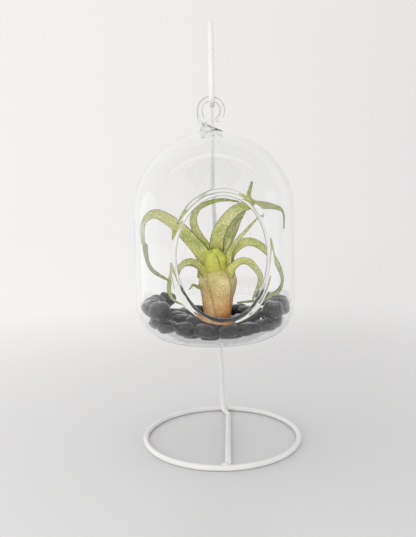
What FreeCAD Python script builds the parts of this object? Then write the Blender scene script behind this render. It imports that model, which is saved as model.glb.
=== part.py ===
"""Hanging glass globe on a bent wire stand, with black pebbles and an air plant.

Millimetres, +Z up. The origin is on the table, at the middle of the base ring.
The mouth of the globe faces -Y, and the upright of the stand is at +Y.
"""
import FreeCAD, Part
import Sketcher
import math
import os
import random

Vector = FreeCAD.Vector
Rotation = FreeCAD.Rotation
Placement = FreeCAD.Placement

UP = Vector(0, 0, 1)
ACROSS = Vector(1, 0, 0)
FORWARD = Vector(0, -1, 0)
ON_OVAL = 0.001

doc = FreeCAD.newDocument("AirPlantHolder")

# Driving dimensions: alias, value in millimetres or degrees, what it is.
SIZES = [
    ("wire_dia", 3.3, "coated steel wire of the ring and the stand"),
    ("ring_radius", 48.0, "middle of the wire of the base ring"),
    ("weld_gap", 0.05, "between two wires that a weld joins"),
    ("bead_radius", 2.7, "lump of a weld bead"),
    ("bead_side", 1.5, "each bead lies this far beside the middle of its wire"),
    ("foot_front_x", 2.1, "front end of the foot bar, sideways"),
    ("foot_back_x", 5.2, "back end of the foot bar, sideways"),
    ("jog_run", 10.0, "length of the sideways jog before the elbow"),
    ("jog_bend", 12.0, "bend radius at the jog"),
    ("elbow_bend", 4.0, "bend radius where the foot turns up"),
    ("upright_x", 2.0, "bottom of the upright, sideways"),
    ("lean_top", 165.0, "height where the upright stops leaning"),
    ("lean_bend", 150.0, "radius of that slight bend"),
    ("stand_height", 259.0, "top of the arch"),
    ("hang_x", -2.8, "axis of the hanging globe, sideways"),
    ("back_gap", 4.6838, "from the back of the globe to the upright"),
    ("hook_half", 5.8, "half the width of the hook, to the middle of the wire"),
    ("hook_tip_rise", 8.5, "height of the hook's tip over its lowest wire"),
    ("hook_tip_out", 1.2, "the tip opens outwards by this"),
    ("hang_gap", 0.3, "between the hook and the glass that hangs on it"),
    ("globe_radius", 47.5, "outside of the glass"),
    ("wall", 1.8, "thickness of the glass"),
    ("globe_bottom", 66.0, "underside of the glass over the table"),
    ("corner_share", 0.46316, "outside radius of the rounded bottom edge, as a share of the globe's"),
    ("shoulder", 141.3, "height where the straight wall turns into the dome"),
    ("mouth_z", 117.4, "middle of the mouth"),
    ("mouth_half_width", 24.6, "clear half width of the mouth"),
    ("mouth_half_height", 31.9, "clear half height of the mouth"),
    ("mouth_turn", 5.0, "degrees that the mouth is turned about the globe's axis"),
    ("rim_width", 2.6, "width of the fire-polished rim"),
    ("rim_swell", 0.55, "the rim stands proud of the glass on each side"),
    ("rim_round", 0.9, "rounding of the rim"),
    ("collar_radius", 8.3, "foot of the glass loop on the dome"),
    ("loop_rod", 3.2, "thickness of the drawn glass rod"),
    ("loop_radius", 6.7, "middle of the rod of the loop"),
    ("loop_rise", 12.5, "middle of the loop over the top of the dome"),
    ("loop_offset", -0.65, "the loop stands this far beside the axis"),
    ("loop_sweep", 232.0, "degrees that the rod curls round"),
    ("heap_half_angle", 44.0, "degrees of wall that each side heap covers, each way"),
    ("pebble_gap", 0.15, "between layers of pebbles, and to the glass"),
    ("leaf_thick", 1.1, "thickness of a leaf"),
    ("leaf_clear", 2.0, "least room that the middle of a leaf leaves to the glass"),
]

# What lies in the globe fills it, so these are shares of the globe's inner radius.
SHARES = [
    ("pebble_long", 0.1335, "half length of a pebble"),
    ("pebble_wide", 0.1116, "half width of a pebble"),
    ("pebble_thick", 0.081, "half thickness of a pebble"),
    ("middle_ring", 0.5164, "ring of pebbles of the top layer round the bulb"),
    ("corner_ring", 0.7877, "ring of pebbles that rests on the rounded edge of the glass"),
    ("corner_rise", 0.1204, "that ring lies this far over the bottom layer"),
    ("heap_ring", 0.8665, "ring of the pebbles heaped against the wall"),
    ("heap_thick", 0.1182, "half thickness of the chunkier pebbles in the heaps"),
    ("bulb_x", 0.0306, "axis of the plant's bulb beside the globe's axis"),
    ("bulb_y", -0.1313, "axis of the plant's bulb in front of the globe's axis"),
    ("bulb_height", 0.6346, "height of the bulb"),
    ("bulb_radius", 0.25, "widest part of the bulb"),
    ("crown_radius", 0.15, "foot of the crown of young leaves"),
    ("crown_height", 0.26, "the young leaves in the middle rise by this"),
    ("crown_forward", 0.04, "the crown stands this far in front of the bulb's axis"),
    ("leaf_root_depth", 0.0328, "the leaves are rooted this far below the top of the bulb"),
    ("leaf_broad", 0.23, "widest of the broad leaves"),
    ("leaf_middle", 0.165, "widest of the middling leaves"),
    ("leaf_narrow", 0.11, "widest of the narrow leaves"),
]

sheet = doc.addObject("Spreadsheet::Sheet", "Sizes")
plain = SIZES + [(alias + "_share", share, note) for alias, share, note in SHARES]
for row, (alias, value, note) in enumerate(plain, start=1):
    sheet.set(f"A{row}", alias)
    sheet.set(f"B{row}", str(value))
    sheet.set(f"C{row}", note)
    sheet.setAlias(f"B{row}", alias)
doc.recompute()


def size(alias):
    """A driving dimension, read from the sheet."""
    return float(sheet.get(alias))


def derive(alias, expression):
    """Adds a cell that the sheet works out from the driving dimensions, and returns its value."""
    derive.row += 1
    sheet.set(f"A{derive.row}", alias)
    sheet.set(f"B{derive.row}", "=" + expression)
    sheet.setAlias(f"B{derive.row}", alias)
    doc.recompute()
    return size(alias)


derive.row = len(plain) + 1

wire_r = derive("wire_radius", "wire_dia / 2")
rod_r = derive("rod_radius", "loop_rod / 2")
inner_r = derive("globe_inner_radius", "globe_radius - wall")
dome_top = derive("dome_top", "shoulder + globe_radius")
floor_z = derive("glass_floor", "globe_bottom + wall")
derive("corner_radius", "globe_radius * corner_share")
derive("loop_z", "dome_top + loop_rise")
hook_z = derive("hook_wire_z", "loop_z + loop_radius - rod_radius - hang_gap - wire_radius")
derive("outer_face", "0")
derive("inner_face", "-wall")
derive("rim_face_out", "rim_swell")
derive("rim_face_in", "-wall - rim_swell")
for alias, share, note in SHARES:
    derive(alias, f"globe_inner_radius * {alias}_share")

# The elbow nestles against the inside of the ring, so the upright stands a little over the ring's wire.
elbow = size("elbow_bend")
derive("elbow_reach", "elbow_bend + wire_dia + weld_gap")
upright_y = derive("upright_y", "ring_radius + elbow_bend - sqrt(elbow_reach ^ 2 - elbow_bend ^ 2)")

# The globe hangs just in front of the upright.
derive("hang_y", "upright_y - wire_radius - back_gap - globe_radius")
hang = Vector(size("hang_x"), size("hang_y"), 0)
plant_axis = hang + Vector(size("bulb_x"), size("bulb_y"), 0)

outputs = []


def keep(feature, label):
    """Marks a finished sub-part: its label is the name of its file."""
    feature.Label = label
    outputs.append(feature)
    return feature


def new_feature(name, shape, placement=None):
    """A plain feature whose shape was made by calculation."""
    feature = doc.addObject("Part::Feature", name)
    feature.Shape = shape
    if placement is not None:
        feature.Placement = placement
    return feature


def boolean(kind, name, base, tool):
    """A cut or a common of two objects."""
    feature = doc.addObject("Part::" + kind, name)
    feature.Base = base
    feature.Tool = tool
    return feature


def fuse(name, pieces):
    """One solid from overlapping objects."""
    feature = doc.addObject("Part::MultiFuse", name)
    feature.Shapes = pieces
    return feature


def rounded_path(corners, radii):
    """A path of straight runs joined by tangent arcs, one radius for each inner corner."""
    edges = []
    start = corners[0]
    for before, corner, after, radius in zip(corners, corners[1:], corners[2:], radii):
        back = (before - corner).normalize()
        ahead = (after - corner).normalize()
        half_turn = (math.pi - back.getAngle(ahead)) / 2
        reach = radius * math.tan(half_turn)
        middle = (back + ahead).normalize()
        centre = corner + middle * (radius / math.cos(half_turn))
        first = corner + back * reach
        last = corner + ahead * reach
        edges.append(Part.LineSegment(start, first).toShape())
        edges.append(Part.Arc(first, centre - middle * radius, last).toShape())
        start = last
    edges.append(Part.LineSegment(start, corners[-1]).toShape())
    return Part.Wire(edges)


def round_bar(path, radius):
    """A round bar swept along a path."""
    first = path.Edges[0]
    direction = first.tangentAt(first.FirstParameter)
    section = Part.Wire(Part.makeCircle(radius, path.Vertexes[0].Point, direction))
    return path.makePipeShell([section], True, False)


# Base ring: one round of wire, butt welded and coated.
def make_base_ring():
    ring = doc.addObject("Part::Torus", "RingTorus")
    ring.setExpression("Radius1", "Sizes.ring_radius")
    ring.setExpression("Radius2", "Sizes.wire_radius")
    ring.setExpression("Placement.Base.z", "Sizes.wire_radius")
    return keep(ring, "base_ring")


# Stand: one length of wire that makes the foot bar, the upright, the arch and the hook.
def stand_corners():
    """The corners of the bent wire and the bend radius at each inner one."""
    inside = size("ring_radius") - wire_r
    foot_x = size("foot_front_x")
    foot_y = size("weld_gap") - math.sqrt(inside**2 - (abs(foot_x) + wire_r) ** 2)
    hang_x = size("hang_x")
    arch_z = size("stand_height") - wire_r
    front_y = size("hang_y") - size("hook_half")
    back_y = size("hang_y") + size("hook_half")
    bend_share = 0.96
    arch_bend = bend_share * (upright_y - front_y) / 2
    hook_bend = bend_share * size("hook_half")
    tip = Vector(hang_x, back_y + size("hook_tip_out"), hook_z + size("hook_tip_rise"))
    corners = [
        Vector(foot_x, foot_y, wire_r),
        Vector(size("foot_back_x"), upright_y - size("jog_run"), wire_r),
        Vector(size("upright_x"), upright_y, wire_r),
        Vector(hang_x, upright_y, size("lean_top")),
        Vector(hang_x, upright_y, arch_z),
        Vector(hang_x, front_y, arch_z),
        Vector(hang_x, front_y, hook_z),
        Vector(hang_x, back_y, hook_z),
        tip,
    ]
    radii = [size("jog_bend"), elbow, size("lean_bend"), arch_bend, arch_bend, hook_bend, hook_bend]
    return corners, radii


def make_stand_wire():
    corners, radii = stand_corners()
    path = rounded_path(corners, radii)
    bar = round_bar(path, wire_r)
    tip = Part.makeSphere(wire_r, corners[-1])
    return keep(new_feature("StandWire", bar.fuse(tip)), "stand_wire")


# Weld beads: a lump of weld in the crook between two wires, flat where it meets the table.
def make_weld_bead(name, label, centre, wires):
    radius = size("bead_radius")
    lump = Part.makeSphere(radius, centre)
    block_share = 3.0
    block = block_share * radius
    corner = Vector(centre.x - block / 2, centre.y - block / 2, 0)
    above_table = Part.makeBox(block, block, block, corner)
    shape = lump.common(above_table)
    for wire in wires:
        shape = shape.cut(wire.Shape)
    bead = max(shape.Solids, key=lambda solid: solid.Volume)
    return keep(new_feature(name, bead), label)


def make_weld_beads(ring, stand):
    inside = size("ring_radius") - wire_r
    back = Vector(size("upright_x") + size("bead_side"), inside, wire_r)
    front = Vector(size("foot_front_x") - size("bead_side"), -inside, wire_r)
    make_weld_bead("BackBead", "weld_bead_back", back, [ring, stand])
    make_weld_bead("FrontBead", "weld_bead_front", front, [ring, stand])


# Glass: a blown shell, turned about its own axis, with a round dome and a rounded bottom edge.
def wall_profile(body, outside, inside):
    """The half section of a shell that lies between two offsets from the outer surface."""
    sketch = body.newObject("Sketcher::SketchObject", body.Name + "Profile")
    plane = [f for f in body.Origin.OriginFeatures if f.Role == "XZ_Plane"][0]
    sketch.AttachmentSupport = [(plane, "")]
    sketch.MapMode = "FlatFace"
    top = size("shoulder")
    foot = size("globe_bottom") + size("corner_radius")
    reach = size("globe_radius") - size("corner_radius")
    big_out = size("globe_radius") + outside
    big_in = size("globe_radius") + inside
    small_out = size("corner_radius") + outside
    small_in = size("corner_radius") + inside
    quarter = math.pi / 2

    def line(x1, z1, x2, z2):
        return Part.LineSegment(Vector(x1, z1, 0), Vector(x2, z2, 0))

    def arc(x, z, radius, first, last):
        return Part.ArcOfCircle(Part.Circle(Vector(x, z, 0), UP, radius), first, last)

    sketch.addGeometry(
        [
            line(0, foot - small_out, reach, foot - small_out),
            arc(reach, foot, small_out, -quarter, 0),
            line(big_out, foot, big_out, top),
            arc(0, top, big_out, 0, quarter),
            line(0, top + big_out, 0, top + big_in),
            arc(0, top, big_in, 0, quarter),
            line(big_in, top, big_in, foot),
            arc(reach, foot, small_in, -quarter, 0),
            line(reach, foot - small_in, 0, foot - small_in),
            line(0, foot - small_in, 0, foot - small_out),
        ],
        False,
    )
    return sketch


def tie_profile(sketch, outside, inside):
    """Constraints of the half section, its sizes bound to the sheet's cells."""

    def add(*arguments):
        return sketch.addConstraint(Sketcher.Constraint(*arguments))

    start, end, middle = 1, 2, 3
    origin, upright_axis = -1, -2
    floor_out, corner_out, side_out, dome_out, pole = range(5)
    dome_in, side_in, corner_in, floor_in, middle_line = range(5, 10)
    meetings = [
        (floor_out, end, corner_out, start),
        (corner_out, end, side_out, start),
        (side_out, end, dome_out, start),
        (dome_out, end, pole, start),
        (pole, end, dome_in, end),
        (dome_in, start, side_in, start),
        (side_in, end, corner_in, end),
        (corner_in, start, floor_in, start),
        (floor_in, end, middle_line, start),
        (middle_line, end, floor_out, start),
        (corner_out, middle, corner_in, middle),
        (dome_out, middle, dome_in, middle),
    ]
    for meeting in meetings:
        add("Coincident", *meeting)
    for flat in (floor_out, floor_in):
        add("Horizontal", flat)
    for upright in (side_out, side_in):
        add("Vertical", upright)
    for line, point in ((floor_out, start), (pole, start), (pole, end), (dome_out, middle)):
        add("PointOnObject", line, point, upright_axis)
    add("PointOnObject", middle_line, start, upright_axis)
    for arc in (dome_out, dome_in):
        add("Horizontal", arc, middle, arc, start)
    for arc in (corner_out, corner_in):
        add("Horizontal", arc, middle, arc, end)
        add("Vertical", arc, middle, arc, start)

    globe_radius = size("globe_radius")
    corner_radius = size("corner_radius")
    foot = size("globe_bottom") + corner_radius
    bound = [
        ("outer_radius", "globe_radius + " + outside, ("Radius", dome_out, globe_radius + size(outside))),
        ("inner_radius", "globe_radius + " + inside, ("Radius", dome_in, globe_radius + size(inside))),
        ("corner", "corner_radius + " + outside, ("Radius", corner_out, corner_radius + size(outside))),
        ("dome_level", "shoulder", ("DistanceY", origin, 1, dome_out, middle, size("shoulder"))),
        ("corner_level", "globe_bottom + corner_radius", ("DistanceY", origin, 1, corner_out, middle, foot)),
    ]
    for name, formula, arguments in bound:
        sketch.renameConstraint(add(*arguments), name)
        cells = " + ".join("Sizes." + word for word in formula.split(" + "))
        sketch.setExpression("Constraints." + name, cells)


def make_shell(name, outside, inside):
    """A turned shell between two offsets from the outer surface, each the name of a cell."""
    body = doc.addObject("PartDesign::Body", name)
    sketch = wall_profile(body, size(outside), size(inside))
    tie_profile(sketch, outside, inside)
    turned = body.newObject("PartDesign::Revolution", name + "Turned")
    turned.Profile = sketch
    turned.ReferenceAxis = (sketch, ["V_Axis"])
    turned.Angle = 360.0
    body.Tip = turned
    body.setExpression("Placement.Base.x", "Sizes.hang_x")
    body.setExpression("Placement.Base.y", "Sizes.hang_y")
    return body


def make_mouth_tool(name, margin):
    """An upright oval bar through the front wall only, turned as the mouth is."""
    oval = doc.addObject("Part::Ellipse", name + "Oval")
    oval.setExpression("MajorRadius", f"Sizes.mouth_half_height + {margin}")
    oval.setExpression("MinorRadius", f"Sizes.mouth_half_width + {margin}")
    bar = doc.addObject("Part::Extrusion", name)
    bar.Base = oval
    bar.DirMode = "Custom"
    bar.Dir = UP
    bar.Solid = True
    bar.setExpression("LengthFwd", "Sizes.globe_radius * 2")
    upright = Rotation(UP, ACROSS * -1, FORWARD, "ZXY")
    turn = Rotation(UP, size("mouth_turn"))
    centre = hang + UP * size("mouth_z")
    bar.Placement = Placement(centre, turn.multiply(upright))
    return bar


def make_glass_globe():
    blank = make_shell("Blank", "outer_face", "inner_face")
    thick = make_shell("Thick", "rim_face_out", "rim_face_in")
    outer_oval = make_mouth_tool("RimBar", "Sizes.rim_width")
    clear_oval = make_mouth_tool("MouthBar", "Sizes.outer_face")
    opened = boolean("Cut", "OpenedShell", blank, outer_oval)
    rim_band = boolean("Cut", "RimBand", outer_oval, clear_oval)
    rim = boolean("Common", "Rim", thick, rim_band)
    sharp = fuse("SharpGlobe", [opened, rim])
    doc.recompute()

    # The two edges that run round the clear opening are the ones that melt round.
    into_oval = clear_oval.Placement.inverse()
    melted = []
    for number, edge in enumerate(sharp.Shape.Edges, start=1):
        point = into_oval.multVec(edge.valueAt((edge.FirstParameter + edge.LastParameter) / 2))
        share = math.hypot(point.x / size("mouth_half_height"), point.y / size("mouth_half_width"))
        if abs(share - 1) < ON_OVAL:
            melted.append((number, size("rim_round"), size("rim_round")))
    globe = doc.addObject("Part::Fillet", "GlassGlobe")
    globe.Base = sharp
    globe.Edges = melted
    doc.recompute()
    return keep(globe, "glass_globe")


# Loop: a gather of glass set on the dome, drawn out into a rod and curled round.
def make_glass_loop():
    centre = hang + ACROSS * size("loop_offset") + UP * size("loop_z")
    curl = doc.addObject("Part::Torus", "LoopCurl")
    curl.setExpression("Radius1", "Sizes.loop_radius")
    curl.setExpression("Radius2", "Sizes.rod_radius")
    curl.setExpression("Angle3", "Sizes.loop_sweep")
    # The torus is swept from the left, over the top and down the right.
    facing = Rotation(ACROSS * -1, UP, FORWARD * -1, "XYZ")
    curl.Placement = Placement(centre, facing)

    sweep = math.radians(180.0 - size("loop_sweep"))
    end = centre + Vector(math.cos(sweep), 0, math.sin(sweep)) * size("loop_radius")
    cap = doc.addObject("Part::Sphere", "LoopEnd")
    cap.setExpression("Radius", "Sizes.rod_radius")
    cap.Placement = Placement(end, Rotation())

    # The root narrows from the round collar into the rod, with its left side upright.
    collar = size("collar_radius")
    left = centre.x - size("loop_radius") - rod_r
    low = dome_top - size("wall")
    rise = centre.z - low
    height_shares = (0.0, 0.27, 0.34, 0.44, 0.6, 1.0)
    radius_shares = (1.0, 0.94, 0.74, 0.44, 0.26, 0.0)
    rounds = []
    for height_share, radius_share in zip(height_shares, radius_shares):
        radius = rod_r + (collar - rod_r) * radius_share
        middle = Vector(left + radius, hang.y, low + rise * height_share)
        rounds.append(Part.Wire(Part.makeCircle(radius, middle, UP)))
    root = new_feature("LoopRoot", Part.makeLoft(rounds, True, True))

    joined = fuse("LoopJoined", [root, curl, cap])
    dome = doc.addObject("Part::Sphere", "DomeSeat")
    dome.setExpression("Radius", "Sizes.globe_radius")
    dome.Placement = Placement(hang + UP * size("shoulder"), Rotation())
    doc.recompute()
    return keep(boolean("Cut", "GlassLoop", joined, dome), "glass_loop")


# Pebbles: rounded stones in rings, each a little different, a group of solids for each layer.
PEBBLE_SIDES = 6
PEBBLE_HEIGHT_SHARES = (-1.0, -0.4, 0.4, 1.0)
PEBBLE_ROUND_SHARES = (0.45, 1.0, 1.0, 0.42)
# Half the width across the flats of a stone, as a share of half its width across the corners.
ACROSS_FLATS = math.cos(math.pi / PEBBLE_SIDES)


def pebble(centre, turn, length, breadth, depth):
    """A water-worn stone with flat facets: broad and flat, and rounded about its edge."""
    rounds = []
    for height_share, round_share in zip(PEBBLE_HEIGHT_SHARES, PEBBLE_ROUND_SHARES):
        points = []
        for side in range(PEBBLE_SIDES):
            angle = 2 * math.pi * side / PEBBLE_SIDES
            along = length * round_share * math.cos(angle)
            across = breadth / ACROSS_FLATS * round_share * math.sin(angle)
            points.append(centre + turn.multVec(Vector(along, across, depth * height_share)))
        rounds.append(points)
    outlines = [rounds[0], rounds[-1]]
    for lower, upper in zip(rounds, rounds[1:]):
        for side in range(PEBBLE_SIDES):
            after = (side + 1) % PEBBLE_SIDES
            outlines.append([lower[side], lower[after], upper[after], upper[side]])
    faces = [Part.Face(Part.makePolygon(outline + outline[:1])) for outline in outlines]
    return Part.Solid(Part.Shell(faces))


def pebble_spots(radius, height):
    """Evenly spaced places round the axis of the globe: the angle and the point."""
    along = 2 * size("pebble_long") + size("pebble_gap")
    count = max(1, int(2 * math.pi * radius / along))
    spots = []
    for number in range(count):
        angle = 360.0 * number / count
        spots.append((angle, hang + Rotation(UP, angle).multVec(ACROSS * radius) + UP * height))
    return spots


def make_pebble_layer(label, spots, thickness, chance):
    """One node of stones, their long sides along the ring."""
    least_share, most_share = 0.92, 1.0
    most_tilt = 1.5
    stones = []
    for angle, spot in spots:
        tilt = Rotation(ACROSS, chance.uniform(-most_tilt, most_tilt))
        turn = Rotation(UP, angle + 90.0).multiply(tilt)
        length = size("pebble_long") * chance.uniform(least_share, most_share)
        breadth = size("pebble_wide") * chance.uniform(least_share, most_share)
        stones.append(pebble(spot, turn, length, breadth, size(thickness)))
    name = label.title().replace("_", "")
    return keep(new_feature(name, Part.makeCompound(stones)), label)


def make_pebbles():
    """Two layers and a heap against the wall on each side. Returns the level that the bulb stands on."""
    chance = random.Random(7)
    gap = size("pebble_gap")
    thick = size("pebble_thick")
    first_ring = size("pebble_long") + gap + size("pebble_wide")
    second_ring = first_ring + 2 * size("pebble_wide") + gap
    low = floor_z + gap + thick
    corner = low + size("corner_rise")
    heap = corner + thick + gap + size("heap_thick")

    bottom = pebble_spots(0.0, low) + pebble_spots(first_ring, low) + pebble_spots(second_ring, low)
    top = pebble_spots(size("middle_ring"), low + thick + gap + thick) + pebble_spots(size("corner_ring"), corner)
    least_cosine = math.cos(math.radians(size("heap_half_angle")))
    heaps = []
    for angle, spot in pebble_spots(size("heap_ring"), heap):
        if abs(math.cos(math.radians(angle))) > least_cosine:
            heaps.append((angle, spot))
    make_pebble_layer("pebbles_bottom_layer", bottom, "pebble_thick", chance)
    make_pebble_layer("pebbles_top_layer", top, "pebble_thick", chance)
    make_pebble_layer("pebbles_side_heaps", heaps, "heap_thick", chance)
    return low + thick + gap


# Plant: a bulb of leaf bases, a crown of young leaves and curling outer leaves.
def turned_solid(base_z, height, widest, height_shares, radius_shares):
    """A solid turned about the Z axis, given by shares of its height and of its widest radius."""
    points = [Vector(0, 0, base_z)]
    for height_share, radius_share in zip(height_shares, radius_shares):
        points.append(Vector(widest * radius_share, 0, base_z + height * height_share))
    points.append(Vector(0, 0, base_z + height))
    outline = Part.makePolygon(points + points[:1])
    return Part.Face(outline).revolve(Vector(0, 0, 0), UP, 360.0)


def make_bulb(base_z):
    """The bulb, turned about its own axis: rounded below, widest near its rounded top."""
    height_shares = (0.0, 0.06, 0.2, 0.5, 0.8, 0.92, 1.0)
    radius_shares = (0.42, 0.62, 0.7, 0.8, 1.0, 0.92, 0.66)
    solid = turned_solid(base_z, size("bulb_height"), size("bulb_radius"), height_shares, radius_shares)
    return keep(new_feature("PlantBulb", solid, Placement(plant_axis, Rotation())), "plant_bulb")


def make_crown(bulb_top):
    """The rounded bud of young leaves on the bulb, a little in front of its axis."""
    height_shares = (0.0, 0.35, 0.65, 0.88, 1.0)
    radius_shares = (1.0, 0.96, 0.8, 0.5, 0.16)
    solid = turned_solid(bulb_top, size("crown_height"), size("crown_radius"), height_shares, radius_shares)
    place = plant_axis + FORWARD * size("crown_forward")
    return keep(new_feature("PlantCrown", solid, Placement(place, Rotation())), "plant_crown")


# Each leaf: its widest, the way its upper side faces, and points along its middle as shares of the
# globe's inner radius, from the globe's axis at the top of the bulb.
LEAF_SHARES = {
    "leaf_centre": (
        "leaf_broad",
        (0.1, -0.95, 0.3),
        [(0.01, -0.05, 0.24), (0.07, -0.2, 0.57), (0.26, -0.19, 0.82), (0.54, -0.09, 0.9),
         (0.83, 0.05, 0.86), (0.94, 0.09, 0.78), (0.95, 0.07, 0.58)],
    ),
    "leaf_left_arch": (
        "leaf_broad",
        (0.0, -0.85, 0.5),
        [(-0.14, -0.12, 0.22), (-0.4, -0.17, 0.56), (-0.6, -0.12, 0.73), (-0.78, -0.07, 0.8),
         (-0.92, -0.03, 0.68), (-0.95, 0.0, 0.42), (-0.86, 0.02, 0.11), (-0.6, -0.02, -0.08)],
    ),
    "leaf_right_arch": (
        "leaf_middle",
        (0.0, -0.8, 0.6),
        [(0.19, -0.13, 0.24), (0.37, -0.2, 0.41), (0.55, -0.21, 0.39), (0.76, -0.15, 0.19),
         (0.88, -0.06, -0.06), (0.82, 0.0, -0.25), (0.62, 0.04, -0.36), (0.29, 0.07, -0.4)],
    ),
    "leaf_over_arch": (
        "leaf_middle",
        (0.0, -0.9, -0.4),
        [(-0.06, -0.06, 0.27), (-0.23, 0.0, 0.56), (-0.27, 0.02, 0.73), (-0.21, 0.04, 0.87),
         (-0.05, 0.07, 0.95), (0.14, 0.08, 0.98), (0.34, 0.09, 0.95)],
    ),
    "leaf_spike": (
        "leaf_broad",
        (-0.3, -0.9, 0.2),
        [(0.09, 0.0, 0.25), (0.29, 0.12, 0.66), (0.42, 0.1, 0.9), (0.51, 0.04, 1.21)],
    ),
    "leaf_inner": (
        "leaf_narrow",
        (-0.4, -0.9, 0.1),
        [(0.14, -0.11, 0.27), (0.22, -0.06, 0.5), (0.29, -0.02, 0.68), (0.38, -0.02, 0.76)],
    ),
    "leaf_folded_tip": (
        "leaf_narrow",
        (-0.4, -0.9, 0.1),
        [(0.19, -0.2, 0.27), (0.29, -0.35, 0.46), (0.42, -0.41, 0.61), (0.57, -0.41, 0.77)],
    ),
    "leaf_low_left": (
        "leaf_middle",
        (0.0, -0.7, 0.7),
        [(-0.19, -0.28, 0.11), (-0.29, -0.34, 0.19), (-0.39, -0.38, 0.17), (-0.47, -0.38, 0.07),
         (-0.5, -0.35, -0.13)],
    ),
    "leaf_low_right": (
        "leaf_middle",
        (0.0, -0.7, 0.7),
        [(0.24, -0.28, 0.11), (0.35, -0.36, 0.19), (0.46, -0.41, 0.15), (0.56, -0.42, -0.03),
         (0.46, -0.42, -0.28)],
    ),
    "leaf_resting_left": (
        "leaf_narrow",
        (0.0, -0.7, 0.7),
        [(-0.19, -0.16, 0.1), (-0.36, -0.18, 0.16), (-0.53, -0.22, 0.06), (-0.59, -0.27, -0.14),
         (-0.52, -0.31, -0.3), (-0.3, -0.31, -0.38)],
    ),
    "leaf_stub": (
        "leaf_narrow",
        (0.0, -0.8, 0.6),
        [(-0.2, -0.24, -0.14), (-0.28, -0.36, -0.1), (-0.33, -0.43, -0.14)],
    ),
}
LEAF_STATIONS = 13


def from_axis(point):
    """The way to a point inside the globe from its axis, or from the dome's centre higher up."""
    return point - (hang + UP * min(point.z, size("shoulder")))


def leaf_faces(spot, facing):
    """The way that a leaf faces: as it grew, or turned half flat to the glass where it lies on it."""
    out = from_axis(spot)
    free_share, pressed_share, most_turn = 0.7, 0.9, 0.5
    pressed = (out.Length / inner_r - free_share) / (pressed_share - free_share)
    pressed = min(max(pressed, 0.0), 1.0) * most_turn
    side = 1 if out.dot(facing) > 0 else -1
    return facing * (1 - pressed) + out.normalize() * (side * pressed)


def blade(points, width, facing):
    """A channelled leaf along a smooth line through the points, tapering to its tip."""
    line = Part.BSplineCurve()
    line.interpolate(points)
    thick = size("leaf_thick")
    tip_share = 0.12
    taper_power = 0.85
    channel_share = 0.16
    thin_share = 0.5
    sections = []
    for number, spot in enumerate(line.discretize(Number=LEAF_STATIONS)):
        run = number / (LEAF_STATIONS - 1)
        tangent = line.tangent(line.parameter(spot))[0]
        across = tangent.cross(leaf_faces(spot, facing)).normalize()
        upper = across.cross(tangent).normalize()
        half = width / 2 * (tip_share + (1 - tip_share) * (1 - run) ** taper_power)
        deep = thick / 2 * (1 - thin_share * run)
        lift = upper * (2 * half * channel_share)
        corners = [
            spot - across * half + lift,
            spot - upper * deep,
            spot + across * half + lift,
            spot + upper * deep,
        ]
        sections.append(Part.makePolygon(corners + corners[:1]))
    return Part.makeLoft(sections, True, True)


def within_glass(point):
    """The point, drawn in from the glass where a leaf would touch it."""
    out = from_axis(point)
    most = inner_r - size("leaf_clear") - size("leaf_thick")
    excess = max(out.Length - most, 0.0)
    return point - out.normalize() * excess


def make_leaves(bulb_top, core):
    """Leaves rooted round the top of the bulb, each trimmed by what it grows from and past."""
    grown = [item.Shape for item in core]
    origin = hang + UP * bulb_top
    for label, (breadth, facing, shares) in LEAF_SHARES.items():
        points = [within_glass(origin + Vector(*share) * inner_r) for share in shares]
        aim = points[0] - plant_axis
        aim.z = 0
        root = plant_axis + aim.normalize() * size("crown_radius") + UP * (bulb_top - size("leaf_root_depth"))
        shape = blade([root] + points, size(breadth), Vector(*facing))
        trimmed = shape.cut(Part.makeCompound(grown))
        leaf = max(trimmed.Solids, key=lambda solid: solid.Volume)
        grown.append(leaf)
        name = label.title().replace("_", "")
        keep(new_feature(name, leaf), label)


ring_part = make_base_ring()
doc.recompute()
stand_part = make_stand_wire()
make_weld_beads(ring_part, stand_part)
make_glass_globe()
make_glass_loop()
bulb_base = make_pebbles()
bulb_top = bulb_base + size("bulb_height")
make_leaves(bulb_top, [make_bulb(bulb_base), make_crown(bulb_top)])
doc.recompute()

faults = []
for item in doc.Objects:
    if "Invalid" in item.State or "Error" in item.State:
        faults.append(f"{item.Name}: {item.State}")
for item in outputs:
    if item.Shape.isNull() or not item.Shape.isValid() or not item.Shape.Solids:
        faults.append(f"{item.Label}: bad shape")
if faults:
    raise SystemExit("\n".join(faults))

os.makedirs("parts", exist_ok=True)
for item in outputs:
    item.Shape.exportStep(os.path.join("parts", item.Label + ".step"))
    volume = sum(solid.Volume for solid in item.Shape.Solids)
    print(f"{item.Label}: {len(item.Shape.Solids)} solids, {volume:.1f} mm3")
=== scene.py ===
# %% [markdown]
# # An air plant in a hanging glass globe
#
# This lesson builds a clear blown globe with an oval mouth, hung by a curl of glass from a white
# wire stand. Black pebbles and a small air plant lie in it. Lengths below are in millimetres and
# are turned into metres when a point is made.

# %% Open the frame
import math
import random

import bmesh
import bpy
import numpy as np
from mathutils import Matrix, Quaternion, Vector, noise


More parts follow.
